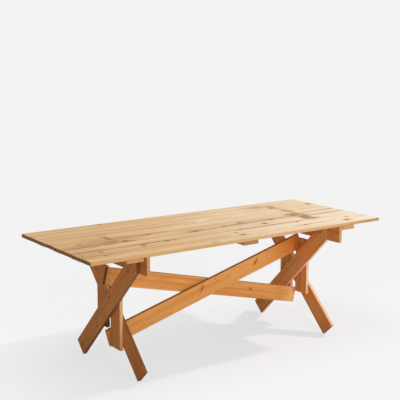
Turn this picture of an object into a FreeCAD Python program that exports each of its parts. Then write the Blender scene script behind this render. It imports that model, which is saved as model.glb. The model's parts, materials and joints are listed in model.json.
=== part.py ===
import FreeCAD, Part
import math
import os

# A nailed plank table: a loose top of boards on battens, resting on two X trestles
# that two long crossing braces tie together.
# X runs along the table, Y across it, Z up; the origin is on the floor under the middle.
# The right trestle is made in the left one's place and turned half round about Z, and so is
# the back brace, in the front brace's place.

Vector = FreeCAD.Vector

# Top: boards side by side, a little uneven at their ends, on three battens
table_height = 720.0
top_length = 2000.0
top_width = 800.0
top_board_thickness = 20.0
top_board_gap = 1.0
top_board_count = 8
end_unevenness = 6.0
left_end_shares = (0.35, 0.0, 0.5, 0.2, 0.7, 0.1, 0.45, 0.25)
right_end_shares = (0.1, 0.4, 0.9, 0.55, 0.2, 0.8, 0.0, 0.3)
batten_width = 100.0
batten_thickness = 24.0
batten_setback = 20.0
batten_play = 2.0

# Trestles: an outer leg, a layer of rail and uprights, and an inner leg
trestle_inset = 328.0
frame_board_thickness = 20.0
leg_width = 100.0
foot_inset = 134.0
leg_head_inset = 142.0
leg_head_gap = 2.0
right_inner_leg_setback = 18.0
foot_wear = 3.0
rail_height = 100.0
upright_width = 102.0
upright_reach = 119.0
upright_rail_gap = 31.0
upright_foot_gap = 2.0

# Braces, set out by their upper edges where they pass the trestles
brace_width = 98.0
brace_thickness = 20.0
brace_spacing = 1.0
front_brace_leg_gap = 20.5
front_brace_rail_gap = 14.0
front_brace_low_overhang = 23.0
front_brace_high_overhang = 23.0
back_brace_leg_gap = 7.5
back_brace_rail_gap = 36.0
back_brace_low_overhang = 8.0
back_brace_high_overhang = 23.0

# Eased edges of every board
edge_easing = 1.0

# Nails, flush with the boards that they are driven through
nail_shank_diameter = 3.0
nail_head_diameter = 6.5
nail_head_thickness = 1.2
nail_tip_length = 5.0
nail_tip_cover = 2.0
nail_brace_bite = 35.0
nail_fit = 0.1
cut_overrun = 5.0

# Where the nails sit: shares of a board's width from its middle line,
# of the corners of the leg's head, or of the height that brace and upright share
top_nail_shares = ((-0.25, -0.15), (0.25, 0.15))
head_nail_shares = ((0.5, 0.25, 0.25), (0.2, 0.55, 0.25), (0.2, 0.25, 0.55))
upright_nail_shares = ((-0.2, 0.08), (0.2, -0.08))
brace_nail_shares = (0.27, 0.73)
brace_nail_inward_share = 0.2

half_turn = 180.0
full_turn = 360.0

# Heights and places that follow from the sizes above
board_underside = table_height - top_board_thickness
batten_underside = board_underside - batten_thickness
rail_bottom = board_underside - rail_height
trestle_x = top_length / 2 - trestle_inset
top_board_width = (top_width + top_board_gap) / top_board_count - top_board_gap
side_batten_x = trestle_x + frame_board_thickness / 2 + batten_play + batten_width / 2
batten_x = {"left": -side_batten_x, "middle": 0.0, "right": side_batten_x}
batten_shift_shares = {"left": 0.5, "middle": 0.0, "right": -0.5}

# A leg leans from its lowest corner, worn off at the floor, to its head just under the batten,
# which is cut level there and plumb at its outer side; these two corners give its lean
foot_y = top_width / 2 - foot_inset
head_y = top_width / 2 - leg_head_inset
head_z = batten_underside - leg_head_gap
leg_diagonal = math.hypot(foot_y + head_y, head_z + foot_wear)
leg_lean = math.atan2(foot_y + head_y, head_z + foot_wear) + math.asin(leg_width / leg_diagonal)
leg_across_y = leg_width * math.cos(leg_lean)
leg_across_z = leg_width * math.sin(leg_lean)
leg_corners = (
    (foot_y, -foot_wear),
    (foot_y + leg_across_y, leg_across_z - foot_wear),
    (-head_y, head_z),
    (-head_y - leg_across_y, head_z),
    (-head_y - leg_across_y, head_z - leg_across_z),
)
leg_centre_y = (foot_y - head_y) / 2
leg_centre_z = (head_z - foot_wear) / 2
leg_half_height = leg_width / 2 / math.sin(leg_lean)
crossing_z = leg_centre_z + leg_centre_y / math.tan(leg_lean)

# The braces lie side by side between the uprights, and pass below and above the legs' crossing
brace_outer_y = brace_spacing / 2 + brace_thickness
upright_y = brace_outer_y + upright_width / 2
leg_underside = crossing_z - leg_half_height - brace_outer_y / math.tan(leg_lean)
low_upright_head = crossing_z + upright_reach
high_upright_foot = crossing_z - upright_reach
high_upright_head = rail_bottom - upright_rail_gap


def plank(size_x, size_y, size_z):
    """A board with eased edges, centred on the origin."""
    corner = Vector(-size_x / 2, -size_y / 2, -size_z / 2)
    box = Part.makeBox(size_x, size_y, size_z, corner)
    return box.makeChamfer(edge_easing, box.Edges)


def placed(shape, x, y, z, axis=Vector(0, 0, 1), degrees=0):
    """A copy of a shape, turned about the origin and then moved."""
    moved = shape.copy()
    moved.Placement = FreeCAD.Placement(Vector(x, y, z), FreeCAD.Rotation(axis, degrees))
    return moved


def turned_round(shape):
    """A copy of a shape, turned half round about the table's upright axis."""
    moved = shape.copy()
    moved.rotate(Vector(), Vector(0, 0, 1), half_turn)
    return moved


def nail_solid(length, spare=0.0, above=0.0):
    """A nail along -Z, the top of its head at the origin; spare and above make it a hole's tool."""
    shank = nail_shank_diameter / 2 + spare
    head = nail_head_diameter / 2 + spare
    outline = [
        Vector(0, 0, above),
        Vector(head, 0, above),
        Vector(head, 0, -nail_head_thickness),
        Vector(shank, 0, -nail_head_thickness),
        Vector(shank, 0, nail_tip_length - length),
        Vector(0, 0, -length - spare),
        Vector(0, 0, above),
    ]
    face = Part.Face(Part.makePolygon(outline))
    return face.revolve(Vector(), Vector(0, 0, 1), full_turn)


class Nailing:
    """Nails of one length, driven one way through a set of boards."""

    def __init__(self, length, direction, places):
        self.length = length
        self.direction = direction
        self.places = places

    def set_in(self, shape):
        """Copies of a nail shape, one at each place."""
        turn = FreeCAD.Rotation(Vector(0, 0, -1), self.direction)
        copies = [shape.copy() for place in self.places]
        for copy, place in zip(copies, self.places):
            copy.Placement = FreeCAD.Placement(place, turn)
        return copies

    def nails(self):
        return self.set_in(nail_solid(self.length))

    def holes(self):
        return self.set_in(nail_solid(self.length, nail_fit, cut_overrun))

    def turned_round(self):
        """The same nailing, turned half round about the table's upright axis."""
        turn = FreeCAD.Rotation(Vector(0, 0, 1), half_turn)
        places = [turn.multVec(place) for place in self.places]
        return Nailing(self.length, turn.multVec(self.direction), places)


def drilled(shape, *nailings):
    """A board with the holes of every nail that reaches it, as one solid."""
    holes = [hole for nailing in nailings for hole in nailing.holes()]
    holes = [hole for hole in holes if hole.BoundBox.intersect(shape.BoundBox)]
    return shape.cut(holes).Solids[0]


def board_y(index):
    """The middle line of a top board, counted from the front."""
    return (top_board_width - top_width) / 2 + index * (top_board_width + top_board_gap)


def top_board(index):
    """A board of the top, counted from the front."""
    left_end = end_unevenness * left_end_shares[index % len(left_end_shares)] - top_length / 2
    right_end = top_length / 2 - end_unevenness * right_end_shares[index % len(right_end_shares)]
    board = plank(right_end - left_end, top_board_width, top_board_thickness)
    middle_z = table_height - top_board_thickness / 2
    return placed(board, (left_end + right_end) / 2, board_y(index), middle_z)


def batten(side):
    """A batten under the top; a side batten is flush with the top at one end."""
    board = plank(batten_width, top_width - batten_setback, batten_thickness)
    middle_z = board_underside - batten_thickness / 2
    return placed(board, batten_x[side], batten_setback * batten_shift_shares[side], middle_z)


def top_nailing(side):
    """Two nails up through a batten into each top board, so that none shows on the top."""
    places = []
    for index in range(top_board_count):
        for along_share, across_share in top_nail_shares:
            x = batten_x[side] + batten_width * along_share
            y = board_y(index) + top_board_width * across_share
            places.append(Vector(x, y, batten_underside))
    length = batten_thickness + top_board_thickness - nail_tip_cover
    return Nailing(length, Vector(0, 0, 1), places)


def leg(layer, foot_side, shift):
    """A leaning leg of the left trestle, worn flat where it stands on the floor."""
    side_x = layer * frame_board_thickness - frame_board_thickness / 2 - trestle_x
    corners = [Vector(side_x, foot_side * y + shift, z) for y, z in leg_corners]
    outline = Part.makePolygon([*corners, corners[0]])
    board = Part.Face(outline).extrude(Vector(frame_board_thickness, 0, 0))
    board = board.makeChamfer(edge_easing, board.Edges)
    ground_corner = Vector(-top_length / 2, -top_width, -table_height)
    ground = Part.makeBox(top_length, 2 * top_width, table_height, ground_corner)
    return board.cut(ground)


def leg_nailing(layer, foot_side, shift):
    """Nails through a leg of the left trestle into its rail and its two uprights."""
    face_x = layer * (frame_board_thickness + frame_board_thickness / 2) - trestle_x
    lower_base_y = foot_y - (rail_bottom + foot_wear) * math.tan(leg_lean)
    upper_base_y = lower_base_y + leg_width / math.cos(leg_lean)
    corners = ((-head_y, head_z), (lower_base_y, rail_bottom), (upper_base_y, rail_bottom))
    places = []
    for shares in head_nail_shares:
        y = sum(share * corner[0] for share, corner in zip(shares, corners))
        z = sum(share * corner[1] for share, corner in zip(shares, corners))
        places.append(Vector(face_x, foot_side * y + shift, z))
    for upright_side in (-1, 1):
        for along_share, across_share in upright_nail_shares:
            y = upright_side * upright_y + upright_width * along_share
            from_middle = y - foot_side * shift
            z = crossing_z - from_middle / math.tan(leg_lean) + leg_width * across_share
            places.append(Vector(face_x, foot_side * y, z))
    length = 2 * frame_board_thickness - nail_tip_cover
    return Nailing(length, Vector(-layer, 0, 0), places)


def rail():
    """The rail of the left trestle, on edge across the table."""
    board = plank(frame_board_thickness, top_width, rail_height)
    return placed(board, -trestle_x, 0, rail_bottom + rail_height / 2)


def upright(side, foot, head):
    """An upright of the left trestle, on one side of the braces."""
    board = plank(frame_board_thickness, upright_width, head - foot)
    return placed(board, -trestle_x, side * upright_y, (foot + head) / 2)


class Brace:
    """A brace in the front brace's place, low at the left and high at the right."""

    def __init__(self, leg_gap, rail_gap, low_overhang, high_overhang):
        self.low_top = leg_underside - leg_gap
        self.high_top = rail_bottom - rail_gap
        self.slope = math.atan2(self.high_top - self.low_top, 2 * trestle_x)
        self.depth = brace_width / math.cos(self.slope)
        self.low_overhang = low_overhang
        self.high_overhang = high_overhang

    def low_upright_foot(self):
        """The foot of the upright at the low end, nearly level with the brace's lower edge."""
        return self.low_top - self.depth + upright_foot_gap

    def board(self):
        """The board itself, on edge, with square ends past both trestles."""
        length = 2 * trestle_x / math.cos(self.slope) + self.low_overhang + self.high_overhang
        shift = (self.high_overhang - self.low_overhang) / 2
        x = shift * math.cos(self.slope)
        y = -(brace_spacing + brace_thickness) / 2
        z = (self.low_top + self.high_top - self.depth) / 2 + shift * math.sin(self.slope)
        board = plank(length, brace_thickness, brace_width)
        return placed(board, x, y, z, Vector(0, 1, 0), -math.degrees(self.slope))

    def nailing(self):
        """Nails into the edges of the low upright at the left and the high upright at the right."""
        places = []
        nail_x = trestle_x - frame_board_thickness * brace_nail_inward_share
        for x, top, foot, head in (
            (-nail_x, self.low_top, self.low_upright_foot(), low_upright_head),
            (nail_x, self.high_top, high_upright_foot, high_upright_head),
        ):
            lower = max(top - self.depth, foot)
            upper = min(top, head)
            for share in brace_nail_shares:
                places.append(Vector(x, -brace_spacing / 2, lower + (upper - lower) * share))
        return Nailing(brace_thickness + nail_brace_bite, Vector(0, -1, 0), places)


def trestle(low_brace, high_brace, inner_shift):
    """The pieces of the left trestle, by name, with the braces that end low and high there."""
    outer_nailing = leg_nailing(-1, 1, 0)
    inner_nailing = leg_nailing(1, -1, inner_shift)
    low_nailing = low_brace.nailing()
    high_nailing = high_brace.nailing().turned_round()
    low_upright = upright(-1, low_brace.low_upright_foot(), low_upright_head)
    high_upright = upright(1, high_upright_foot, high_upright_head)
    return {
        "outer_leg": drilled(leg(-1, 1, 0), outer_nailing),
        "inner_leg": drilled(leg(1, -1, inner_shift), inner_nailing),
        "rail": drilled(rail(), outer_nailing, inner_nailing),
        "low_upright": drilled(low_upright, outer_nailing, inner_nailing, low_nailing),
        "high_upright": drilled(high_upright, outer_nailing, inner_nailing, high_nailing),
        "leg_nails": Part.makeCompound(outer_nailing.nails() + inner_nailing.nails()),
    }


def build():
    """Every piece of the table, by name."""
    pieces = {}
    top_nailings = {side: top_nailing(side) for side in batten_x}
    for index in range(top_board_count):
        pieces[f"top_board_{index + 1}"] = drilled(top_board(index), *top_nailings.values())
    for side, nailing in top_nailings.items():
        pieces[f"batten_{side}"] = drilled(batten(side), nailing)
        pieces[f"top_nails_{side}"] = Part.makeCompound(nailing.nails())

    front = Brace(
        front_brace_leg_gap, front_brace_rail_gap, front_brace_low_overhang, front_brace_high_overhang
    )
    back = Brace(
        back_brace_leg_gap, back_brace_rail_gap, back_brace_low_overhang, back_brace_high_overhang
    )
    for name, shape in trestle(front, back, 0).items():
        pieces[f"left_{name}"] = shape
    for name, shape in trestle(back, front, -right_inner_leg_setback).items():
        pieces[f"right_{name}"] = turned_round(shape)

    front_nailing = front.nailing()
    back_nailing = back.nailing()
    pieces["brace_front"] = drilled(front.board(), front_nailing)
    pieces["brace_back"] = turned_round(drilled(back.board(), back_nailing))
    pieces["brace_nails"] = Part.makeCompound(front_nailing.nails() + back_nailing.turned_round().nails())
    return pieces


os.makedirs("parts", exist_ok=True)
for node, shape in build().items():
    shape.exportStep(f"parts/{node}.step")
    print(node, len(shape.Solids), "solids, valid:", shape.isValid())
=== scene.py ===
import json
import math
import random

import bmesh
import bpy
import numpy as np
from mathutils import Euler, Matrix, Vector, noise


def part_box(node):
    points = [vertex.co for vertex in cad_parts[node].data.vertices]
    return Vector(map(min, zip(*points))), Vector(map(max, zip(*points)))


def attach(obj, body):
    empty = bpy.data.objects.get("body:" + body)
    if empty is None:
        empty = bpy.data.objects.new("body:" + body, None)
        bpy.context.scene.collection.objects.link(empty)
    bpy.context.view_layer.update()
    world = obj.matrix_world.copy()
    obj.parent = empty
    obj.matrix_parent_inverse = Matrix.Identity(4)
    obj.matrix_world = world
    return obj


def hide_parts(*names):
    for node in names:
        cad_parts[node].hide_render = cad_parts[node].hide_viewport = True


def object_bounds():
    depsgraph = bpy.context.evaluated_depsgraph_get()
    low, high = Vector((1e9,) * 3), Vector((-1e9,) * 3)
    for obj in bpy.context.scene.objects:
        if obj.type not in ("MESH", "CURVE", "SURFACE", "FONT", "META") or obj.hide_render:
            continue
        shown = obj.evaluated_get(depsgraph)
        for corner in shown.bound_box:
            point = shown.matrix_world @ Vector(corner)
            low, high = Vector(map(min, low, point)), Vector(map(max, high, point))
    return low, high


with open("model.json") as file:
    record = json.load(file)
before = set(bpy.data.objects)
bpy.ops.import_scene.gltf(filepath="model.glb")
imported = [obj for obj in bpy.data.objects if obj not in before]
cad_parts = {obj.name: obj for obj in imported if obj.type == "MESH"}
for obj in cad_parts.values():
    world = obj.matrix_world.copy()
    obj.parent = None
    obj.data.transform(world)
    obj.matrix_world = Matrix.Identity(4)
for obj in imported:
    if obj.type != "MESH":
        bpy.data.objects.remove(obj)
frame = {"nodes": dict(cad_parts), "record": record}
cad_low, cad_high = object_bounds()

# Grid lines of a board's mesh: how far in from its arrises, ends and nails, and how close (metres)
ARRIS_LINES = (0.0, 0.0004, 0.0010, 0.0020, 0.0040)
END_LINES = (*ARRIS_LINES, 0.010, 0.020)
NAIL_LINES = (0.0, 0.0034, 0.0060)
LINES_ALONG = 0.016
LINES_ACROSS = 0.0065
LINES_THROUGH = 0.004
LEAST_SPACING = 0.0003

# Wear of a board (metres)
ARRIS_ROUND = 0.0010
ARRIS_WEAR = 0.0007
KNOCK_DEPTH = 0.0030
FACE_WAVE = 0.00018
EDGE_WANDER = 0.0006
END_ROUGHNESS = 0.00035
CUP = 0.0006
NAIL_DIMPLE = 0.0006
NAIL_DIMPLE_REACH = 0.0064

# How the wear varies: how far apart boards lie in the noise, and its waves per metre along each axis
SEED_SPAN = 50
WEAR_WAVES = (14, 30, 30)
KNOCK_WAVES = (38, 38, 38)
FACE_WAVES = (7, 12, 12)
EDGE_WAVES = (4, 2, 2)
END_WAVES = (20, 90, 90)
CHECK_WAVES = (30, 0, 0)

# How strong the wear is: the noise from which a knock shows, how steep knocks and dimples are,
# and how far the frame's boards cup on both faces
KNOCK_FROM = 0.45
KNOCK_STEEPNESS = 2
NAIL_DIMPLE_STEEPNESS = 1.6
CUP_OF_FRAME = 0.5

# Drying cracks at the ends: how many, their sizes (metres), their spread in half widths, their taper
CHECK_COUNTS = (0, 1, 1, 2)
CHECK_LENGTHS = (0.02, 0.07)
CHECK_HALF_WIDTH = 0.0006
CHECK_DEPTH = 0.006
CHECK_WANDER = 0.002
CHECK_REACH = 0.012
CHECK_SPREAD = 0.6
CHECK_TAPER = 0.7

# Tolerances: flush nails, trimmed legs, welded points, points at an edge (metres), and directions
FLUSH = 0.0002
TRIM = 0.00001
WELD = 1e-6
EDGE_REACH = 0.004
NEARLY_SQUARE = 0.1
MAINLY = 0.5

# Growth of the pine: its rings, and where the heart of the log lay (metres)
RING_WIDTH = 0.0034
RING_RIPPLE = 0.006
HEART_DEPTHS = (0.055, 0.110)
HEART_OFFSET = 0.030
HEART_SLOPE = 0.030
HEART_WANDER = 0.010

# How the growth varies: waves per metre, unevenness in rings, a seed, and the late wood's part of a ring
HEART_DRIFT_WAVES = 1.3
HEART_SINK_WAVES = 1.1
HEART_SINK_SEED = 9.0
RING_WAVES = 70.0
RING_UNEVENNESS = 2.0
LATE_WOOD_STARTS = (0.25, 0.93)
LATE_WOOD_STOPS = (1.0, 0.95)

# The camera, as worked out from the photograph's edges (metres, degrees, millimetres)
CAMERA_PLACE = (-2.836, -3.859, 1.694)
CAMERA_TURN = -35.64
CAMERA_TILT = 9.78
CAMERA_ROLL = 0.16
CAMERA_LENS = 75.23
CAMERA_SENSOR = 36.0
CAMERA_SIGHT = 100.0

# Lamps: name, place, diameter (metres), power (watts). The small one throws the shadow to the left
LAMPS = (
    ("key_lamp", (4.23, -0.79, 3.65), 0.22, 150.0),
    ("front_lamp", (-0.2, -5.3, 2.2), 3.0, 146.0),
    ("ceiling_lamp", (-0.5, 0.2, 4.6), 3.0, 52.0),
)
LAMP_AIM = (0.0, 0.0, 0.4)
SKY_LEVEL = 0.28

# Floor and background: how bright the camera sees them, and what they throw back on the table
BACKGROUND_LEVEL = 0.895
FLOOR_LEVEL = 0.935
FLOOR_NEAR = -1.5
FLOOR_FAR = 3.0
FLOOR_AHEAD = (0.583, 0.813, 0.0)
FLOOR_SHADING = (0.33, 0.30, 0.275)
FLOOR_BOUNCE = 0.70
FLOOR_HALF = 30.0

# Knots that show on the top: place along, place across, half length, half width (metres), strength
TOP_KNOTS = (
    (-0.970, -0.262, 0.009, 0.007, 0.8),
    (-0.933, -0.302, 0.008, 0.006, 0.6),
    (-0.870, -0.042, 0.012, 0.009, 0.8),
    (-0.867, -0.312, 0.009, 0.007, 0.7),
    (-0.853, -0.240, 0.012, 0.009, 0.7),
    (-0.618, -0.083, 0.014, 0.011, 1.0),
    (-0.590, -0.224, 0.012, 0.010, 0.9),
    (-0.610, -0.258, 0.008, 0.006, 0.6),
    (-0.433, -0.210, 0.012, 0.008, 0.9),
    (-0.436, -0.012, 0.011, 0.009, 1.0),
    (-0.670, 0.040, 0.010, 0.008, 0.7),
    (-0.520, 0.382, 0.012, 0.010, 0.9),
    (-0.237, -0.380, 0.009, 0.007, 0.7),
    (-0.160, -0.088, 0.018, 0.012, 0.7),
    (0.000, -0.305, 0.014, 0.012, 1.0),
    (0.000, -0.250, 0.008, 0.006, 0.9),
    (0.050, -0.068, 0.010, 0.007, 0.7),
    (0.090, -0.190, 0.008, 0.006, 0.7),
    (0.190, -0.040, 0.015, 0.009, 0.7),
    (0.300, -0.142, 0.015, 0.012, 1.0),
    (0.405, -0.078, 0.015, 0.010, 0.7),
    (0.470, -0.302, 0.014, 0.011, 1.0),
    (0.483, -0.220, 0.008, 0.006, 0.8),
    (0.645, 0.212, 0.010, 0.009, 0.9),
    (0.782, -0.340, 0.015, 0.012, 1.0),
    (0.850, -0.267, 0.010, 0.008, 0.8),
    (0.975, 0.208, 0.013, 0.011, 0.8),
)

# Knots that show on the frame: board, place on its face, half length, half width (metres), strength, slant
FRAME_KNOTS = (
    ("brace_front", (0.335, -0.0205, 0.453), 0.0060, 0.0120, 1.0, 0.8),
    ("brace_front", (-0.067, -0.0205, 0.353), 0.0060, 0.0130, 1.0, 0.8),
    ("brace_front", (0.028, -0.0205, 0.399), 0.0040, 0.0040, 0.7, 0.0),
    ("brace_back", (0.315, 0.0005, 0.283), 0.0070, 0.0060, 0.9, 0.0),
    ("left_outer_leg", (-0.702, 0.096, 0.214), 0.0080, 0.0060, 0.8, 0.0),
    ("left_outer_leg", (-0.702, 0.020, 0.300), 0.0070, 0.0050, 0.5, 0.0),
    ("left_outer_leg", (-0.702, -0.045, 0.415), 0.0070, 0.0050, 0.6, 0.0),
    ("left_outer_leg", (-0.702, -0.250, 0.600), 0.0060, 0.0050, 0.6, 0.0),
    ("left_inner_leg", (-0.662, 0.115, 0.456), 0.0090, 0.0060, 0.9, 0.0),
    ("left_inner_leg", (-0.662, 0.060, 0.400), 0.0070, 0.0060, 0.7, 0.0),
)

# Small knots that frame boards have besides: how many, half widths (metres), strengths, length by width,
# and their spread along and across in half sizes of the board
SPARE_KNOT_COUNTS = (1, 2, 3)
SPARE_KNOT_SIZES = (0.004, 0.008)
SPARE_KNOT_STRENGTHS = (0.25, 0.6)
SPARE_KNOT_LENGTH = 1.3
SPARE_KNOT_ALONG = 0.9
SPARE_KNOT_ACROSS = 0.8

# Parts of a knot: where each starts and is full, counted in half sizes of the knot
KNOT_CORE = (1.15, 0.75)
KNOT_RIM_INSIDE = (0.65, 0.95)
KNOT_RIM_OUTSIDE = (1.35, 1.0)
KNOT_HALO = (3.4, 1.0)
KNOT_TAIL = (1.0, 0.2)
KNOT_PUSH = (3.4, 0.6)
NO_KNOT = 9.0

# Shape of a knot: how ragged it is, how long, wide, ragged and strong its tail is, how it pushes the rings
KNOT_RAGGED = 1.3
KNOT_CHIPPED = 0.8
KNOT_TAIL_LENGTH = 7.0
KNOT_TAIL_WIDTH = 0.9
KNOT_TAIL_RAGGED = 1.6
KNOT_TAIL_STRENGTH = 0.8
KNOT_PUSH_SQUEEZE = 0.35

# Stains on the top: middle, half sizes (metres), strength
TOP_STAINS = (
    ((0.590, 0.290), (0.080, 0.050), 0.45),
    ((0.676, 0.240), (0.042, 0.070), 0.70),
    ((0.676, 0.090), (0.032, 0.130), 0.65),
    ((0.628, -0.035), (0.080, 0.058), 0.88),
    ((0.640, -0.120), (0.060, 0.078), 0.90),
    ((0.648, -0.172), (0.075, 0.036), 0.90),
    ((0.740, -0.100), (0.240, 0.012), 0.35),
    ((0.240, -0.062), (0.420, 0.024), 0.55),
    ((0.120, -0.085), (0.200, 0.016), 0.50),
    ((-0.160, -0.090), (0.090, 0.028), 0.55),
    ((-0.670, 0.035), (0.024, 0.075), 0.75),
    ((-0.683, -0.058), (0.058, 0.030), 0.82),
    ((-0.725, -0.080), (0.060, 0.060), 0.50),
    ((-0.700, -0.020), (0.260, 0.090), 0.32),
    ((-0.780, -0.075), (0.240, 0.030), 0.45),
    ((-0.615, -0.098), (0.085, 0.016), 0.90),
    ((-0.930, -0.230), (0.190, 0.150), 0.20),
    ((-0.450, -0.015), (0.080, 0.018), 0.45),
    ((0.930, 0.000), (0.070, 0.012), 0.50),
    ((0.960, 0.190), (0.040, 0.030), 0.45),
)

# Patches of the top that were rubbed pale: middle, half sizes (metres), strength
RUBBED_PATCHES = (
    ((0.048, 0.140), (0.055, 0.036), 0.75),
    ((0.320, 0.142), (0.080, 0.036), 0.45),
    ((-0.230, 0.080), (0.110, 0.040), 0.30),
)

# Stains and patches: where they start and are full in half sizes, how ragged, how streaked, how strong
PATCH_EDGE = (1.25, 0.25)
PATCH_RAGGED = 1.5
PATCH_STREAKED = 1.4
PATCH_STRENGTH = 0.92

# Seams of the top that dirt has darkened: board in front, from, to along the top (metres), strength
DARK_SEAMS = (
    (2, -1.00, -0.82, 1.0),
    (2, -0.86, -0.60, 0.6),
    (2, -0.64, -0.38, 1.0),
    (2, -0.40, 0.08, 0.5),
    (2, 0.04, 0.52, 1.0),
    (3, -0.98, -0.70, 0.6),
    (3, -0.20, -0.05, 0.5),
    (3, 0.66, 1.00, 0.9),
    (4, -0.60, -0.30, 0.5),
    (4, 0.72, 1.00, 0.6),
    (1, -1.00, -0.10, 0.35),
    (1, 0.40, 0.70, 0.4),
)

# Dirt in a seam: how far it fades out along it, where it starts and is full across it (metres), strength
SEAM_REACH = 0.05
SEAM_WIDTH = 0.008
SEAM_FULL = SEAM_WIDTH / 6
SEAM_STRENGTH = 0.30
SEAM_BROKEN = 1.2

# Where the top is painted pale as sheen and turns amber: along it and across it (metres), and how far
SHEEN_ALONG = (-0.60, 0.85)
SHEEN_ACROSS = (0.25, -0.35)
SHEEN_STRENGTH = 0.42
SHEEN_BANDS = 0.5
SHEEN_AT_BACK = 0.45
AMBER_ALONG = (0.35, -0.95)
AMBER_STRENGTH = 0.30
UPPER_FACE = (0.004, 0.001)

# How boards differ in tone: fresher above 0, darker below. The right trestle's boards are made fresher as
# painted light from the lit floor beside them
BOARD_TONES_AND_LIGHT = {
    "top_board_1": 0.10,
    "top_board_2": -0.10,
    "top_board_3": 0.15,
    "top_board_4": -0.50,
    "top_board_5": 0.25,
    "top_board_6": 0.35,
    "top_board_8": 0.20,
    # The right trestle's boards: painted light
    "right_inner_leg": 1.05,
    "right_outer_leg": 0.70,
    "right_rail": 0.30,
    "right_low_upright": 0.60,
    "right_high_upright": 0.70,
    "left_rail": -0.30,
}
TONE_STRENGTH = 0.6

# Narrow faces painted darker as shade, where the table's top shadows them, and how far
SHADED_EDGES = {"left_outer_leg": 0.80, "left_inner_leg": 0.80, "brace_front": 0.60, "brace_back": 0.55}

# Narrow faces painted pale as a highlight, where light from the lit floor and the front falls on them, and
# how far
LIT_EDGES = {
    "right_outer_leg": 0.40,
    "right_inner_leg": 0.52,
    "right_low_upright": 0.65,
    "right_high_upright": 0.50,
    "right_rail": 0.25,
}

# Ends darkened partly by dirt and partly by painted shade under the top, and how far
ENDS_DIRT_AND_SHADE = {
    "left_outer_leg": 0.85,
    "left_inner_leg": 0.85,
    "right_outer_leg": 0.55,
    "right_inner_leg": 0.55,
    "batten_middle": 0.35,
    "left_rail": 0.15,
}

# Ends of boards that took another tone, some as painted highlight and some as painted shade: board, which
# end, reach (metres), colour, strength,
# and whether on the narrow faces alone
TIP_TONES_AND_LIGHT = (
    ("brace_front", 1, 0.34, "ruddy", 0.75, False),
    ("brace_front", -1, 0.12, "ruddy", 0.60, False),
    # Painted highlight where the key lamp reaches the back brace's end
    ("brace_back", 1, 0.14, "fresh", 0.90, False),
    # Painted shade in the gap beside the upright
    ("brace_back", -1, 0.010, "rim", 0.85, False),
    # Painted shade on the upright's low end behind the outer leg
    ("left_high_upright", -1, 0.12, "rim", 0.75, False),
    ("top_board_1", 1, 0.36, "weathered", 0.55, True),
)

# Noise over a board: waves per metre along, across and through it, detail, roughness
FIBRE = ((16.0, 620.0, 620.0), 2.0, 0.6)
STREAK = ((1.3, 60.0, 60.0), 3.0, 0.55)
BAND = ((0.9, 14.0, 14.0), 2.0)
BLOTCH = ((5.0, 16.0, 16.0), 3.0)
SCUFF = ((22.0, 40.0, 40.0), 2.0)
RIBBON = ((0.8, 34.0, 34.0), 2.0)
SAP = ((1.5, 95.0, 95.0), 2.0)
RIPPLE = ((3.0, 26.0, 26.0), 2.0)
PORE = ((40.0, 900.0, 900.0), 2.0)
FLECK = ((34.0, 80.0, 80.0), 3.0, 0.6)
RIBBON_SHIFT = (31.0, 17.0, 5.0)
SAP_SHIFT = (3.0, 41.0, 23.0)

# Noise over the whole table: waves per metre along x, y and z, detail, roughness
PATCH_NOISE = ((16.0, 30.0, 30.0), 4.0, 0.6)
DIRT_NOISE = ((18.0, 26.0, 26.0), 4.0, 0.6)
RUST_NOISE = ((160.0, 160.0, 160.0), 3.0, 0.6)
GRIT_NOISE = ((900.0, 900.0, 900.0), 2.0, 0.6)

# Where each layer over the rings starts to show in its noise, and where it is full
BAND_LEVELS = (0.45, 0.75)
RIBBON_LEVELS = (0.50, 0.72)
STREAK_LEVELS = (0.48, 0.74)
SAP_LEVELS = (0.54, 0.72)
FIBRE_LEVELS = (0.55, 0.80)
BLOTCH_LEVELS = (0.55, 0.80)

# Narrow faces: where they start and are full, in from the arris (metres), and how far they differ
NARROW_FACE = (0.0018, 0.0005)
SIDE_STRENGTH = 0.45
SIDE_BANDS = 0.4

# End grain: which way a face has to look, and how dark its rings and pores are
END_FACE = (0.35, 0.60)
END_RINGS = 0.5
PORE_LEVELS = (0.40, 0.70)
END_PORES = 0.4

# Marks on a board: colours of its knots, its arrises (metres) and its cracks, and how far they show
KNOT_RINGS = 11.0
KNOT_RING_WOBBLE = 5.0
KNOT_SWIRL = 0.25
HALO_STRENGTH = 0.5
CORE_STRENGTH = 0.85
RIM_LEVELS = (0.30, 0.65)
RIM_STRENGTH = 0.6
ARRIS_DIRT = (0.0035, 0.0006)
ARRIS_LEVELS = (0.42, 0.72)
ARRIS_STRENGTH = 0.3
CHECK_STRENGTH = 0.9

# Dirt on the frame and blotches on the top: up to which height (metres), levels and strengths
DIRT_HEIGHT = 0.20
DIRT_LEAST = 0.05
DIRT_BROKEN = 0.4
FLECK_LEVELS = (0.58, 0.76)
FLECK_STRENGTH = 0.30
BLOTCH_STAIN_LEVELS = (0.58, 0.85)
BLOTCH_STAIN_STRENGTH = 0.12

# Relief of the pine: how far late wood, fibres, streaks and knots stand up and rims sink, its height (metres)
LATE_STANDS = 0.35
FIBRE_STANDS = 0.5
STREAK_STANDS = 0.3
CORE_STANDS = 0.8
RIM_SINKS = 0.8
RELIEF_STRENGTH = 0.55
RELIEF_HEIGHT = 0.0006

# Surface of the pine: how rough it is, what streaks, late wood and scuffs do to that, how shiny it is
PINE_ROUGHNESS = 0.58
STREAK_ROUGHENS = 0.16
LATE_SMOOTHS = 0.06
SCUFF_ROUGHENS = 0.08
TOP_SHINE = 0.15
FRAME_SHINE = 0.08

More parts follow.
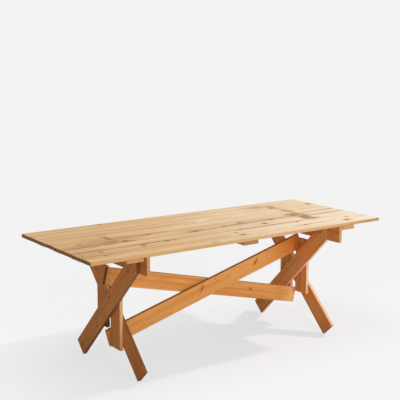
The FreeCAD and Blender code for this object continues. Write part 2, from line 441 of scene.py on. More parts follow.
# Surface of the nails: where rust starts and is full, and what it does to the steel
RUST_LEVELS = (0.38, 0.66)
RUST_STRENGTH = 0.90
STEEL_METALLIC = 0.85
RUST_DULLS = 0.75
STEEL_ROUGHNESS = 0.42
RUST_ROUGHENS = 0.35
GRIT_ROUGHENS = 0.12
NAIL_RELIEF_STRENGTH = 0.5
NAIL_RELIEF_HEIGHT = 0.0003


def display(red, green, blue):
    """A colour as a screen shows it, 0 to 255, in the linear values that shaders take."""
    linear = [((c / 255 + 0.055) / 1.055) ** 2.4 for c in (red, green, blue)]
    return (*linear, 1.0)


STEEL_DARK = display(112, 90, 72)
STEEL_LIGHT = display(142, 118, 96)
RUST = display(118, 70, 40)
TOP_PINE = {
    "rings": 0.65,
    "bands": 0.50,
    "ribbons": 0.70,
    "streaks": 1.00,
    "sap_lines": 0.90,
    "fibres": 0.22,
    "blotches": 0.25,
    "sap": display(248, 226, 192),
    "early": display(227, 193, 147),
    "late": display(201, 154, 101),
    "streak": display(194, 146, 93),
    "pale": display(236, 210, 172),
    "fresh": display(238, 212, 174),
    "amber": display(209, 160, 101),
    "side": display(206, 160, 106),
    "end": display(136, 90, 44),
    "end_dark": display(84, 50, 20),
    "knot": display(132, 84, 42),
    "rim": display(78, 47, 26),
    "grime_and_shade": display(100, 60, 28),
    "stain": display(150, 101, 36),
    "weathered": display(150, 122, 92),
    # Rubbed pale patches, and also the painted sheen
    "pale_and_sheen": display(236, 220, 199),
}
FRAME_PINE = {
    "rings": 0.50,
    "bands": 0.50,
    "ribbons": 0.60,
    "streaks": 0.65,
    "sap_lines": 0.30,
    "fibres": 0.22,
    "blotches": 0.25,
    "sap": display(238, 172, 110),
    "early": display(224, 149, 85),
    "late": display(200, 121, 60),
    "streak": display(190, 110, 52),
    "pale": display(230, 163, 100),
    # Also the painted light on the right trestle's boards
    "fresh": display(246, 166, 94),
    "amber": display(196, 112, 50),
    "side": display(236, 180, 124),
    # Painted highlight on narrow faces
    "edge_highlight": display(250, 220, 186),
    "end": display(222, 168, 116),
    "end_dark": display(184, 122, 74),
    "knot": display(138, 76, 36),
    # Knot rims and cracks, and also painted shade at the high upright's low end
    "rim": display(86, 46, 22),
    # Dirt, and also the colour of painted shade on narrow faces and ends
    "grime_and_shade": display(106, 54, 20),
}
BRACE_PINE = {
    "rings": 0.40,
    "bands": 0.50,
    "ribbons": 0.60,
    "streaks": 0.65,
    "sap_lines": 0.35,
    "fibres": 0.22,
    "blotches": 0.25,
    "sap": display(242, 186, 122),
    "early": display(231, 161, 90),
    "late": display(211, 134, 62),
    "streak": display(205, 125, 55),
    "pale": display(236, 176, 110),
    # Also the painted highlight at the back brace's right end
    "fresh": display(240, 178, 112),
    "amber": display(206, 128, 56),
    "ruddy": display(204, 112, 44),
    "side": display(226, 162, 100),
    "end": display(232, 180, 120),
    "end_dark": display(204, 140, 82),
    "knot": display(132, 74, 34),
    # Knot rims and cracks, and also painted shade at the back brace's left end
    "rim": display(82, 44, 20),
    # Dirt, and also the colour of painted shade on the narrow faces
    "grime_and_shade": display(100, 54, 24),
}
WOODS = {"top_pine": TOP_PINE, "frame_pine": FRAME_PINE, "brace_pine": BRACE_PINE}


class Shade:
    """An output in a material's nodes. Arithmetic on it adds Math nodes."""

    def __init__(self, tree, socket=None):
        self.tree = tree
        self.socket = socket

    def node(self, kind, settings=None, inputs=None, output=0):
        """Adds a node: sets it up, then fills its sockets with values or links, and gives one output."""
        made = self.tree.nodes.new("ShaderNode" + kind)
        for name, value in (settings or {}).items():
            setattr(made, name, value)
        for name, value in (inputs or {}).items():
            if isinstance(value, Shade):
                self.tree.links.new(value.socket, made.inputs[name])
            else:
                made.inputs[name].default_value = value
        return Shade(self.tree, made.outputs[output])

    def math(self, operation, first, second=0.0):
        return self.node("Math", {"operation": operation}, {0: first, 1: second})

    def __add__(self, other):
        return self.math("ADD", self, other)

    def __radd__(self, other):
        return self.math("ADD", other, self)

    def __sub__(self, other):
        return self.math("SUBTRACT", self, other)

    def __rsub__(self, other):
        return self.math("SUBTRACT", other, self)

    def __mul__(self, other):
        return self.math("MULTIPLY", self, other)

    def __rmul__(self, other):
        return self.math("MULTIPLY", other, self)

    def __truediv__(self, other):
        return self.math("DIVIDE", self, other)

    def __rtruediv__(self, other):
        return self.math("DIVIDE", other, self)

    def __pow__(self, other):
        return self.math("POWER", self, other)

    def __rpow__(self, other):
        return self.math("POWER", other, self)

    def __abs__(self):
        return self.math("ABSOLUTE", self)

    def least(self, other):
        return self.math("MINIMUM", self, other)

    def most(self, other):
        return self.math("MAXIMUM", self, other)

    def fraction(self):
        return self.math("FRACT", self)

    def sine(self):
        return self.math("SINE", self)

    def fade(self, start, end):
        """0 up to start and 1 from end on, smooth between; start may be the larger."""
        settings = {"interpolation_type": "SMOOTHSTEP"}
        return self.node("MapRange", settings, {0: self, 1: start, 2: end})

    def parts(self):
        """The three parts of a vector."""
        split = self.node("SeparateXYZ", None, {0: self}).socket.node
        return [Shade(self.tree, output) for output in split.outputs]

    def vector(self, operation, other, output=0):
        return self.node("VectorMath", {"operation": operation}, {0: self, 1: other}, output)

    def combine(self, x, y, z=0.0):
        return self.node("CombineXYZ", None, {0: x, 1: y, 2: z})

    def length(self):
        return self.node("VectorMath", {"operation": "LENGTH"}, {0: self}, "Value")

    def mix(self, factor, first, second):
        """One colour passing into another."""
        settings = {"data_type": "RGBA"}
        return self.node("Mix", settings, {0: factor, 6: first, 7: second}, 2)

    def noise(self, scale, detail, roughness=0.5):
        """Smooth noise about 0.5 over a place, stretched by a scale along each axis."""
        place = self.vector("MULTIPLY", scale)
        inputs = {"Vector": place, "Scale": 1.0, "Detail": detail, "Roughness": roughness}
        return self.node("TexNoise", None, inputs)

    def noise_along(self, scale, seed):
        """Smooth noise about 0.5 over one value."""
        inputs = {"W": self * scale + seed, "Scale": 1.0, "Detail": 1.0}
        return self.node("TexNoise", {"noise_dimensions": "1D"}, inputs)

    def bump(self, height, strength, distance):
        """The direction that a surface faces when a height lies on it."""
        inputs = {"Strength": strength, "Distance": distance, "Height": height}
        return self.node("Bump", None, inputs, "Normal")


def facing(direction):
    """A direction, or its opposite, so that its largest part is positive."""
    return direction if max(direction, key=abs) > 0 else -direction


def in_order(lines):
    """Grid lines in order, without those that nearly repeat their neighbour; both ends stay."""
    lines = sorted(lines)
    kept = [lines[0]]
    for line in lines[1:-1]:
        if line - kept[-1] > LEAST_SPACING and lines[-1] - line > LEAST_SPACING:
            kept.append(line)
    return np.array([*kept, lines[-1]])


def grid_lines(half, near_ends, spacing, extra=()):
    """Grid lines from -half to half: named ones near both ends, even ones between, and extra ones."""
    inner = half - near_ends[-1]
    count = max(1, math.ceil(2 * inner / spacing))
    close = [side * (half - line) for line in near_ends for side in (-1, 1)]
    return in_order([*close, *np.linspace(-inner, inner, count + 1), *extra])


def waves(points, scale, seed):
    """Smooth noise from -1 to 1 at each point."""
    return np.array([noise.noise(Vector(p)) for p in points * np.array(scale) + seed])


def nail_heads():
    """The middle of every nail's head."""
    heads = []
    for name, node in frame["nodes"].items():
        if "nails" not in name:
            continue
        solid = bmesh.new()
        solid.from_mesh(node.data)
        bmesh.ops.remove_doubles(solid, verts=solid.verts, dist=WELD)
        waiting = set(solid.verts)
        while waiting:
            nail = [waiting.pop()]
            for vert in nail:
                near = [edge.other_vert(vert) for edge in vert.link_edges]
                fresh = [other for other in near if other in waiting]
                waiting.difference_update(fresh)
                nail.extend(fresh)
            heads.append(head_of(np.array([vert.co for vert in nail])))
        solid.free()
    return heads


def head_of(points):
    """The middle of a nail's head, which is its wider end."""
    low, high = points.min(0), points.max(0)
    axis = int(np.argmax(high - low))
    head = (low + high) / 2
    at_high = points[points[:, axis] > high[axis] - FLUSH]
    head[axis] = high[axis] if np.ptp(at_high, axis=0).max() > FLUSH else low[axis]
    return head


class Board:
    """A board of the table in its own axes: x along it, y across its width, z through it."""

    def __init__(self, node, heads):
        self.node = node
        self.of_top = node.startswith("top")
        self.number = int(node.rsplit("_", 1)[1]) if self.of_top else 0
        self.random = random.Random(node)
        mesh = frame["nodes"][node].data
        sums = {}
        for face in mesh.polygons:
            normal = facing(face.normal)
            key = tuple(round(part, 2) for part in normal)
            sums[key] = sums.get(key, Vector()) + normal * face.area
        normals = sorted(sums.values(), key=lambda total: -total.length)
        through = normals[0].normalized()
        across = next(n for n in normals if abs(n.normalized().dot(through)) < NEARLY_SQUARE)
        y_axis = facing(across.normalized())
        x_axis = facing(y_axis.cross(through))
        self.axes = np.array([x_axis, y_axis, x_axis.cross(y_axis)])
        points = np.array([vert.co for vert in mesh.vertices]) @ self.axes.T
        self.middle = (points.min(0) + points.max(0)) / 2
        self.half = (points.max(0) - points.min(0)) / 2
        self.seed = np.array([self.random.uniform(-SEED_SPAN, SEED_SPAN) for _ in range(3)])
        self.nails = [place for place in map(self.local, heads) if self.holds(place)]
        depth = self.random.uniform(*HEART_DEPTHS) * self.random.choice((-1, 1))
        self.heart = (self.random.uniform(-HEART_OFFSET, HEART_OFFSET), depth)
        self.heart_slope = self.random.uniform(-HEART_SLOPE, HEART_SLOPE)
        self.bow = self.random.uniform(-1, 1)
        self.tone = BOARD_TONES_AND_LIGHT.get(node, 0.0)
        self.knots = []
        self.checks = self.end_checks()

    def local(self, place):
        """A place on the table, in the board's own axes."""
        return self.axes @ np.array(place) - self.middle

    def holds(self, place):
        """Whether a place lies on one of the board's broad faces."""
        inside = (abs(place[:2]) < self.half[:2]).all()
        return inside and abs(abs(place[2]) - self.half[2]) < FLUSH

    def end_checks(self):
        """Drying cracks at the ends: which end, place across, length along the board."""
        checks = []
        for end in (-1, 1):
            for _ in range(self.random.choice(CHECK_COUNTS)):
                across = self.random.uniform(-CHECK_SPREAD, CHECK_SPREAD) * self.half[1]
                checks.append((end, across, self.random.uniform(*CHECK_LENGTHS)))
        return checks

    def lines(self):
        """The grid lines of the mesh along, across and through the board."""
        around_nail = [side * line for line in NAIL_LINES for side in (-1, 1)]
        nail_x = [nail[0] + shift for nail in self.nails for shift in around_nail]
        nail_y = [nail[1] + shift for nail in self.nails for shift in around_nail]
        check_y = [check[1] + side * CHECK_HALF_WIDTH for check in self.checks for side in (-1, 0, 1)]
        return (
            grid_lines(self.half[0], END_LINES, LINES_ALONG, nail_x),
            grid_lines(self.half[1], ARRIS_LINES, LINES_ACROSS, nail_y + check_y),
            grid_lines(self.half[2], ARRIS_LINES, LINES_THROUGH),
        )

    def surface(self):
        """The grid points of the board's six faces, and the quads between them."""
        lines = self.lines()
        last = [len(line) - 1 for line in lines]
        index = {}
        quads = []
        for axis in range(3):
            first, second = (axis + 1) % 3, (axis + 2) % 3
            for side in (0, last[axis]):
                for i in range(last[first]):
                    for j in range(last[second]):
                        quad = []
                        for step in ((0, 0), (1, 0), (1, 1), (0, 1)):
                            place = [0, 0, 0]
                            place[axis] = side
                            place[first] = i + step[0]
                            place[second] = j + step[1]
                            quad.append(index.setdefault(tuple(place), len(index)))
                        quads.append(quad if side else quad[::-1])
        points = np.array([[line[i] for line, i in zip(lines, place)] for place in index])
        return points, quads

    def worn(self, points):
        """The grid points with rounded, knocked arrises and faces that wave, cup and check."""
        wear = ARRIS_ROUND + ARRIS_WEAR * waves(points, WEAR_WAVES, self.seed)
        knock = np.clip(waves(points, KNOCK_WAVES, -self.seed) - KNOCK_FROM, 0, None) * KNOCK_STEEPNESS
        radius = (wear + KNOCK_DEPTH * knock**2)[:, None]
        core = np.clip(points, radius - self.half, self.half - radius)
        outward = points - core
        outward /= np.linalg.norm(outward, axis=1)[:, None]
        return core + outward * radius - outward * self.relief(points, outward)[:, None]

    def relief(self, points, outward):
        """How far each point lies below the sawn face's highest level."""
        ends, sides, faces = np.abs(outward.T)
        across = points[:, 1] / self.half[1]
        wave = 1 + waves(points, FACE_WAVES, self.seed)
        wander = 1 + waves(points, EDGE_WAVES, self.seed[::-1])
        rough = 1 + waves(points, END_WAVES, self.seed)
        bow = across**2 if self.bow > 0 else 1 - across**2
        depth = faces * (FACE_WAVE * wave + CUP * abs(self.bow) * bow * self.cupped(outward))
        depth += sides * EDGE_WANDER * wander + ends * END_ROUGHNESS * rough
        for x, y, z in self.nails:
            away = np.hypot(points[:, 0] - x, points[:, 1] - y) / NAIL_DIMPLE_REACH
            here = np.sign(points[:, 2]) == np.sign(z)
            depth += here * faces * NAIL_DIMPLE * np.clip(NAIL_DIMPLE_STEEPNESS * (1 - away), 0, 1)
        return depth + self.check_depth(points, outward)

    def cupped(self, outward):
        """Boards of the top cup on their upper face alone, because they lie flat on the battens."""
        return outward[:, 2] > 0 if self.of_top else CUP_OF_FRAME

    def check_depth(self, points, outward):
        """The depth of the drying cracks, which run in from the ends and grow shallow."""
        depth = np.zeros(len(points))
        for end, across, length in self.checks:
            inward = self.half[0] - end * points[:, 0]
            on_line = abs(points[:, 1] - across) < CHECK_HALF_WIDTH / 2
            share = np.clip(1 - inward / length, 0, 1)
            depth += on_line * (outward[:, 2] > MAINLY) * CHECK_DEPTH * share**CHECK_TAPER
            depth += on_line * (end * outward[:, 0] > MAINLY) * CHECK_DEPTH * (points[:, 2] > 0)
        return depth

    def wander_checks(self, points, moved):
        """Bends the drying cracks with the grain."""
        for end, across, length in self.checks:
            near = np.exp(-(((points[:, 1] - across) / CHECK_REACH) ** 2))
            inside = np.clip(1 - (self.half[0] - end * points[:, 0]) / (2 * length), 0, 1)
            drift = waves(points * (1, 0, 0), CHECK_WAVES, self.seed)
            moved[:, 1] += near * inside * CHECK_WANDER * drift
        return moved

    def mesh(self):
        """The worn board as a mesh in its place, with its own axes kept for its material."""
        points, quads = self.surface()
        moved = self.wander_checks(points, self.worn(points))
        mesh = bpy.data.meshes.new("pine_" + self.node)
        mesh.from_pydata(((moved + self.middle) @ self.axes).tolist(), [], quads)
        place = mesh.attributes.new("board", "FLOAT_VECTOR", "POINT")
        place.data.foreach_set("vector", points.astype(np.float32).ravel())
        dirt = mesh.attributes.new("check", "FLOAT", "POINT")
        inside = np.clip(points, EDGE_REACH - self.half, self.half - EDGE_REACH)
        depth = self.check_depth(points, (points - inside) / EDGE_REACH) / CHECK_DEPTH
        dirt.data.foreach_set("value", depth.astype(np.float32))
        mesh.polygons.foreach_set("use_smooth", [True] * len(quads))
        mesh.update()
        return mesh


def trim_leg(mesh, node):
    """Cuts a leg to its node's box: level and plumb at its head, and flat where it stands."""
    solid = bmesh.new()
    solid.from_mesh(mesh)
    low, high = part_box(node)
    for axis in (1, 2):
        for corner, side in ((low, -1), (high, 1)):
            place = [0.0, 0.0, 0.0]
            place[axis] = corner[axis] - side * TRIM
            outward = [0.0, 0.0, 0.0]
            outward[axis] = side
            cut_off(solid, place, outward)
    solid.to_mesh(mesh)
    solid.free()


def cut_off(solid, place, outward):
    """Cuts off what lies beyond a plane, and closes the cut."""
    everything = [*solid.verts, *solid.edges, *solid.faces]
    cut = bmesh.ops.bisect_plane(
        solid, geom=everything, dist=WELD, plane_co=place, plane_no=outward, clear_outer=True
    )
    rim = [edge for edge in cut["geom_cut"] if isinstance(edge, bmesh.types.BMEdge)]
    if rim:
        for face in bmesh.ops.contextual_create(solid, geom=rim)["faces"]:
            face.smooth = False
        bmesh.ops.recalc_face_normals(solid, faces=solid.faces)


class Grain:
    """The growth of one board as shader values: rings, fibres, streaks and knots."""

    def __init__(self, tree, board):
        self.board = board
        self.start = Shade(tree)
        self.place = self.start.node("Attribute", {"attribute_name": "board"}, None, "Vector")
        self.check = self.start.node("Attribute", {"attribute_name": "check"}, None, "Fac")
        self.rest = self.start.node("TexCoord", None, None, "Object")
        normal = self.start.node("TexCoord", None, None, "Normal")
        self.end = abs(normal.vector("DOT_PRODUCT", tuple(board.axes[0]), "Value")).fade(*END_FACE)
        self.x, self.y, self.z = self.place.parts()
        self.spot = self.place.vector("ADD", tuple(board.seed))
        self.fibre = self.spot.noise(*FIBRE)
        self.streak = self.spot.noise(*STREAK)
        self.band = self.spot.noise(*BAND)
        self.blotch = self.spot.noise(*BLOTCH)
        self.scuff = self.spot.noise(*SCUFF)
        self.ribbon = self.spot.vector("ADD", RIBBON_SHIFT).noise(*RIBBON)
        self.sap = self.spot.vector("ADD", SAP_SHIFT).noise(*SAP)
        self.core = 0.0
        self.rim = 0.0
        self.halo = 0.0
        self.push = 0.0
        self.away = NO_KNOT
        for knot in board.knots:
            self.add_knot(*knot)
        self.late = self.rings()

    def add_knot(self, middle, half_length, half_width, strength, slant=0.0):
        """A branch that ran out from the heart: its core, its bark rim, its halo, and the rings it moves."""
        along, across, depth = middle
        heart_y, heart_z = self.board.heart
        lean = Vector((across - heart_y, depth - heart_z)).normalized()
        lean *= math.copysign(1, lean[1])
        side = (0.0, lean[1], -lean[0])
        offset = across * lean[1] - depth * lean[0]
        v = self.place.vector("DOT_PRODUCT", side, "Value") - offset
        u = self.x - along - v * slant
        away = self.place.combine(u / half_length, v / half_width).length()
        away = away + (self.blotch - 0.5) * KNOT_RAGGED + (self.scuff - 0.5) * KNOT_CHIPPED
        rim = away.fade(*KNOT_RIM_INSIDE) * away.fade(*KNOT_RIM_OUTSIDE)
        tail_half = (half_length * KNOT_TAIL_LENGTH, half_width * KNOT_TAIL_WIDTH)
        tail = self.place.combine(u / tail_half[0], v / tail_half[1]).length()
        tail = (tail + (self.streak - 0.5) * KNOT_TAIL_RAGGED).fade(*KNOT_TAIL) * KNOT_TAIL_STRENGTH
        reach = self.place.combine(u * KNOT_PUSH_SQUEEZE, v).length() / half_width
        self.core = (away.fade(*KNOT_CORE) * strength).most(self.core)
        self.rim = (rim * strength).most(self.rim)
        self.halo = (away.fade(*KNOT_HALO).most(tail) * strength).most(self.halo)
        self.push = reach.fade(*KNOT_PUSH) * half_width + self.push
        self.away = away.least(self.away)

    def rings(self):
        """Growth rings round the heart of the log: 0 in pale early wood, 1 in dark late wood."""
        seed = float(self.board.seed[0])
        drift = self.x.noise_along(HEART_DRIFT_WAVES, seed) - 0.5
        sink = self.x.noise_along(HEART_SINK_WAVES, seed + HEART_SINK_SEED) - 0.5
        heart_y, heart_z = self.board.heart
        away_y = self.y - heart_y - drift * (2 * HEART_WANDER)
        away_z = self.z - heart_z - self.x * self.board.heart_slope - sink * (2 * HEART_WANDER)
        ripple = (self.spot.noise(*RIPPLE) - 0.5) * RING_RIPPLE
        radius = (away_y * away_y + away_z * away_z) ** 0.5 + ripple + self.push
        turn = radius / RING_WIDTH + radius.noise_along(RING_WAVES, seed) * RING_UNEVENNESS
        part = turn.fraction()
        return part.fade(*LATE_WOOD_STARTS) * part.fade(*LATE_WOOD_STOPS)


def sawn_colour(grain, wood):
    """Early and late wood, streaks and blotches, narrow faces, end grain and toned tips, some with painted
    light and shade.
    """
    start = grain.start
    board = grain.board
    half_length, half_width, _ = board.half
    colour = start.mix(grain.late * wood["rings"], wood["early"], wood["late"])
    # Board tone, which on the right trestle is painted light
    tone = wood["fresh" if board.tone > 0 else "streak"]
    colour = start.mix(abs(board.tone) * TONE_STRENGTH, colour, tone)
    layers = (
        (grain.band.fade(*BAND_LEVELS) * wood["bands"], "pale"),
        (grain.ribbon.fade(*RIBBON_LEVELS) * wood["ribbons"], "amber"),
        (grain.streak.fade(*STREAK_LEVELS) * wood["streaks"], "streak"),
        (grain.sap.fade(*SAP_LEVELS) * wood["sap_lines"], "sap"),
        (grain.fibre.fade(*FIBRE_LEVELS) * wood["fibres"], "late"),
        (grain.blotch.fade(*BLOTCH_LEVELS) * wood["blotches"], "streak"),
    )
    for share, other in layers:
        colour = start.mix(share, colour, wood[other])
    narrow = abs(grain.y).fade(*(half_width - inward for inward in NARROW_FACE))
    colour = start.mix(narrow * (SIDE_STRENGTH + grain.band * SIDE_BANDS), colour, wood["side"])
    # Painted shade on the narrow faces that lie in the top's shadow
    colour = start.mix(narrow * SHADED_EDGES.get(board.node, 0.0), colour, wood["grime_and_shade"])
    # Painted highlight on the narrow faces of the right trestle's boards
    if board.node in LIT_EDGES:
        colour = start.mix(narrow * LIT_EDGES[board.node], colour, wood["edge_highlight"])
    pores = grain.spot.noise(*PORE).fade(*PORE_LEVELS)
    end_grain = start.mix(grain.late * END_RINGS + pores * END_PORES, wood["end"], wood["end_dark"])
    # Dirt and painted shade on the end grain
    end_grain = start.mix(ENDS_DIRT_AND_SHADE.get(board.node, 0.0), end_grain, wood["grime_and_shade"])
    colour = start.mix(grain.end, colour, end_grain)
    # Toned tips, some of them painted highlight and painted shade
    for node, end, reach, other, strength, narrow_only in TIP_TONES_AND_LIGHT:
        if node == board.node:
            near = (grain.x * end).fade(half_length - reach, half_length)
            near = near * narrow if narrow_only else near
            colour = start.mix(near * strength, colour, wood[other])
    return colour


def marked_colour(grain, wood, colour):
    """The wood's colour with its knots, its dirty arrises and its drying cracks."""
    start = grain.start
    _, half_width, half_depth = grain.board.half
    swirl = (grain.away * KNOT_RINGS + grain.blotch * KNOT_RING_WOBBLE).sine()
    knot = start.mix(swirl * KNOT_SWIRL + KNOT_SWIRL, wood["knot"], wood["rim"])
    colour = start.mix(grain.halo * HALO_STRENGTH, colour, wood["streak"])
    colour = start.mix(grain.core * CORE_STRENGTH, colour, knot)
    rim = grain.rim * grain.scuff.fade(*RIM_LEVELS)
    colour = start.mix(rim * RIM_STRENGTH, colour, wood["rim"])
    inward = (half_width - abs(grain.y)) + (half_depth - abs(grain.z))
    arris = inward.fade(*ARRIS_DIRT) * grain.scuff.fade(*ARRIS_LEVELS)
    colour = start.mix(arris * ARRIS_STRENGTH, colour, wood["grime_and_shade"])
    return start.mix(grain.check * CHECK_STRENGTH, colour, wood["rim"])


def foot_dirt(grain, wood, colour):
    """Dirt that rises from the floor on the frame, and flecks of it."""
    _, _, height = grain.rest.parts()
    broken = DIRT_LEAST + grain.rest.noise(*DIRT_NOISE) * DIRT_BROKEN
    flecks = grain.spot.noise(*FLECK).fade(*FLECK_LEVELS) * FLECK_STRENGTH
    dirt = flecks.most(height.fade(DIRT_HEIGHT, 0.0) * broken)
    return grain.start.mix(dirt, colour, wood["grime_and_shade"])


def patches(flat, ragged, marks):
    """Where ragged oval marks lie on the top, each as strong as it says."""
    share = 0.0
    for middle, half_sizes, strength in marks:
        reach = tuple(1 / size for size in half_sizes)
        away = flat.vector("SUBTRACT", (*middle, 0.0)).vector("MULTIPLY", (*reach, 0.0)).length()
        share = ((away + ragged).fade(*PATCH_EDGE) * (strength * PATCH_STRENGTH)).most(share)
    return share


def seam_dirt(grain, along):
    """Dirt in the seams on both sides of a board of the top."""
    board = grain.board
    broken = SEAM_STRENGTH + grain.scuff * SEAM_BROKEN
    dirt = 0.0
    for front, low, high, strength in DARK_SEAMS:
        if board.number - front in (0, 1):
            side = 1 if board.number == front else -1
            line = (board.half[1] - grain.y * side).fade(SEAM_WIDTH, SEAM_FULL)
            stretch = along.fade(low - SEAM_REACH, low) * along.fade(high + SEAM_REACH, high)
            dirt = (line * stretch * broken * strength).most(dirt)
    return dirt


def top_marks(grain, wood, colour):
    """The top's amber end, its painted sheen at the other end, its rubbed patches, its stains and its dark
    seams.
    """
    start = grain.start
    along, across, _ = grain.rest.parts()
    upper = grain.z.fade(*(grain.board.half[2] - inward for inward in UPPER_FACE))
    colour = start.mix(along.fade(*AMBER_ALONG) * AMBER_STRENGTH, colour, wood["amber"])
    # Painted sheen, palest towards the right end and the front
    pale_and_sheen = SHEEN_AT_BACK + across.fade(*SHEEN_ACROSS) * (1 - SHEEN_AT_BACK)
    pale_and_sheen = along.fade(*SHEEN_ALONG) * pale_and_sheen * (SHEEN_STRENGTH + grain.band * SHEEN_BANDS)
    colour = start.mix(pale_and_sheen * upper, colour, wood["pale_and_sheen"])
    broken = grain.rest.noise(*PATCH_NOISE)
    ragged = (broken - 0.5) * PATCH_RAGGED + (grain.streak - 0.5) * PATCH_STREAKED
    flat = start.combine(along, across)
    colour = start.mix(patches(flat, ragged, RUBBED_PATCHES) * upper, colour, wood["pale_and_sheen"])
    blotches = grain.blotch.fade(*BLOTCH_STAIN_LEVELS) * BLOTCH_STAIN_STRENGTH
    stain = patches(flat, ragged, TOP_STAINS).most(blotches)
    colour = start.mix(stain * upper, colour, wood["stain"])
    return start.mix(seam_dirt(grain, along) * upper, colour, wood["grime_and_shade"])


def pine(board, wood):
    """Sawn pine for one board."""
    material = bpy.data.materials.new("pine_" + board.node)
    material.use_nodes = True
    tree = material.node_tree
    grain = Grain(tree, board)
    colour = sawn_colour(grain, wood)
    colour = top_marks(grain, wood, colour) if board.of_top else foot_dirt(grain, wood, colour)
    colour = marked_colour(grain, wood, colour)
    height = grain.late * LATE_STANDS + grain.fibre * FIBRE_STANDS + grain.streak * STREAK_STANDS
    height = height + grain.core * CORE_STANDS - grain.rim * RIM_SINKS
    rough = PINE_ROUGHNESS + grain.streak * STREAK_ROUGHENS - grain.late * LATE_SMOOTHS
    rough = rough + grain.scuff * SCUFF_ROUGHENS
    bump = grain.start.bump(height, RELIEF_STRENGTH, RELIEF_HEIGHT)
    shader = tree.nodes["Principled BSDF"]
    shader.inputs["Specular IOR Level"].default_value = TOP_SHINE if board.of_top else FRAME_SHINE
    tree.links.new(colour.socket, shader.inputs["Base Color"])
    tree.links.new(rough.socket, shader.inputs["Roughness"])
    tree.links.new(bump.socket, shader.inputs["Normal"])
    return material


def nail_steel():
    """Dull wire nails, browned with rust."""
    material = bpy.data.materials.new("nail_steel")
    material.use_nodes = True
    tree = material.node_tree
    start = Shade(tree)
    rest = start.node("TexCoord", None, None, "Object")
    rust = rest.noise(*RUST_NOISE).fade(*RUST_LEVELS)
    grit = rest.noise(*GRIT_NOISE)
    colour = start.mix(grit, STEEL_DARK, STEEL_LIGHT)
    colour = start.mix(rust * RUST_STRENGTH, colour, RUST)
    rough = STEEL_ROUGHNESS + rust * RUST_ROUGHENS + grit * GRIT_ROUGHENS
    metal = STEEL_METALLIC - rust * RUST_DULLS
    bump = start.bump(grit + rust, NAIL_RELIEF_STRENGTH, NAIL_RELIEF_HEIGHT)
    shader = tree.nodes["Principled BSDF"]
    tree.links.new(colour.socket, shader.inputs["Base Color"])
    tree.links.new(rough.socket, shader.inputs["Roughness"])
    tree.links.new(metal.socket, shader.inputs["Metallic"])
    tree.links.new(bump.socket, shader.inputs["Normal"])
    return material


def give_knots(boards):
    """Gives each board the knots that the photograph shows, and the frame a few small ones more."""
    for x, y, *knot in TOP_KNOTS:
        places = {board: board.local((x, y, cad_high[2])) for board in boards if board.of_top}
        board = min(places, key=lambda board: abs(places[board][1]))
        board.knots.append((places[board], *knot))
    named = {board.node: board for board in boards}
    for node, place, *knot in FRAME_KNOTS:
        named[node].knots.append((named[node].local(place), *knot))
    for board in boards:
        if board.of_top or board.knots:
            continue
        for _ in range(board.random.choice(SPARE_KNOT_COUNTS)):
            along = board.random.uniform(-SPARE_KNOT_ALONG, SPARE_KNOT_ALONG) * board.half[0]
            across = board.random.uniform(-SPARE_KNOT_ACROSS, SPARE_KNOT_ACROSS) * board.half[1]
            size = board.random.uniform(*SPARE_KNOT_SIZES)
            place = np.array((along, across, math.copysign(board.half[2], -board.heart[1])))
            strength = board.random.uniform(*SPARE_KNOT_STRENGTHS)
            board.knots.append((place, SPARE_KNOT_LENGTH * size, size, strength))


def seen_directly(start):
    """1 for what the camera sees, straight, mirrored or through glass, and 0 for light that bounces."""
    names = ("Is Camera Ray", "Is Glossy Ray", "Is Transmission Ray")
    straight, mirrored, through = [start.node("LightPath", None, None, name) for name in names]
    return straight.most(mirrored).most(through)


def lamp_on_floor(place, lamp_place, power):
    """How brightly a lamp lights a white floor at a place."""
    aim = (Vector(LAMP_AIM) - Vector(lamp_place)).normalized()
    away = place.vector("SUBTRACT", lamp_place)
    square = away.vector("DOT_PRODUCT", away, "Value")
    ahead = away.vector("DOT_PRODUCT", tuple(aim), "Value").most(0.0)
    return ahead / (square * square) * (power * lamp_place[2] / math.pi**2)


def floor():
    """A plain pale floor that keeps the table's shadow and shows no other shading."""
    mesh = bpy.data.meshes.new("floor")
    corners = [(x * FLOOR_HALF, y * FLOOR_HALF, 0) for x, y in ((-1, -1), (1, -1), (1, 1), (-1, 1))]
    mesh.from_pydata(corners, [], [(0, 1, 2, 3)])
    material = bpy.data.materials.new("floor_paint")
    material.use_nodes = True
    tree = material.node_tree
    start = Shade(tree)
    place = start.node("NewGeometry", None, None, "Position")
    light = SKY_LEVEL
    for _, lamp_place, _, power in LAMPS:
        light = light + lamp_on_floor(place, lamp_place, power)
    near = place.vector("DOT_PRODUCT", FLOOR_AHEAD, "Value").fade(FLOOR_FAR, FLOOR_NEAR)
    level = BACKGROUND_LEVEL + near * (FLOOR_LEVEL - BACKGROUND_LEVEL)
    seen = seen_directly(start)
    glow = [(level - light * shading) * seen for shading in FLOOR_SHADING]
    paint = [FLOOR_BOUNCE + seen * (shading - FLOOR_BOUNCE) for shading in FLOOR_SHADING]
    shader = tree.nodes["Principled BSDF"]
    shader.inputs["Roughness"].default_value = 1.0
    shader.inputs["Specular IOR Level"].default_value = 0.0
    shader.inputs["Emission Strength"].default_value = 1.0
    tree.links.new(start.combine(*paint).socket, shader.inputs["Base Color"])
    tree.links.new(start.combine(*glow).socket, shader.inputs["Emission Color"])
    mesh.materials.append(material)
    plane = bpy.data.objects.new("floor", mesh)
    bpy.context.scene.collection.objects.link(plane)


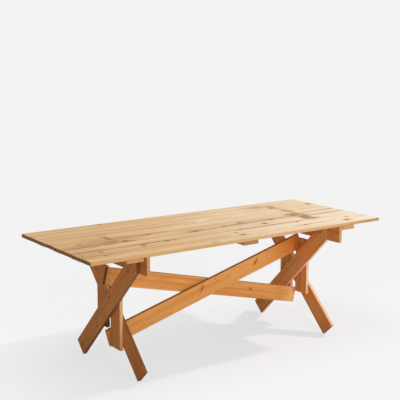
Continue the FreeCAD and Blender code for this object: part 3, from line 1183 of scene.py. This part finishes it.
def sky():
    """Even light from all round, and the pale background that the camera sees."""
    world = bpy.data.worlds.new("studio")
    world.use_nodes = True
    bpy.context.scene.world = world
    tree = world.node_tree
    start = Shade(tree)
    level = SKY_LEVEL + seen_directly(start) * (BACKGROUND_LEVEL - SKY_LEVEL)
    background = tree.nodes["Background"]
    tree.links.new(start.combine(level, level, level).socket, background.inputs["Color"])


def lamp(name, place, size, power):
    """A round lamp that faces the table."""
    light = bpy.data.lights.new(name, "AREA")
    light.shape = "DISK"
    light.size = size
    light.energy = power
    holder = bpy.data.objects.new(name, light)
    holder.location = place
    holder.rotation_euler = (Vector(LAMP_AIM) - Vector(place)).to_track_quat("-Z", "Y").to_euler()
    bpy.context.scene.collection.objects.link(holder)


def camera():
    """The camera where the photograph was taken."""
    data = bpy.data.cameras.new("camera")
    data.lens = CAMERA_LENS
    data.sensor_width = CAMERA_SENSOR
    data.clip_end = CAMERA_SIGHT
    level = Euler((math.radians(90 - CAMERA_TILT), 0, math.radians(CAMERA_TURN))).to_matrix()
    holder = bpy.data.objects.new("camera", data)
    holder.location = CAMERA_PLACE
    holder.rotation_euler = (level @ Matrix.Rotation(math.radians(CAMERA_ROLL), 3, "Z")).to_euler()
    bpy.context.scene.collection.objects.link(holder)
    bpy.context.scene.camera = holder


def dress_table():
    """Replaces every plain board by a worn one of sawn pine, and gives the nails their steel."""
    record = frame["record"]
    slots = {part["node"]: part["material_slot"] for part in record["subparts"]}
    bodies = {node: body for body, nodes in record["behaviour"]["bodies"].items() for node in nodes}
    heads = nail_heads()
    steel = nail_steel()
    boards = []
    for node, slot in slots.items():
        if slot == "nail_steel":
            frame["nodes"][node].data.materials.clear()
            frame["nodes"][node].data.materials.append(steel)
        else:
            boards.append(Board(node, heads))
    give_knots(boards)
    for board in boards:
        mesh = board.mesh()
        if board.node.endswith("leg"):
            trim_leg(mesh, board.node)
        mesh.materials.append(pine(board, WOODS[slots[board.node]]))
        piece = bpy.data.objects.new("pine_" + board.node, mesh)
        bpy.context.scene.collection.objects.link(piece)
        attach(piece, bodies[board.node])
        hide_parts(board.node)


dress_table()
floor()
sky()
for setting in LAMPS:
    lamp(*setting)
camera()
bpy.context.scene.view_settings.view_transform = "Standard"
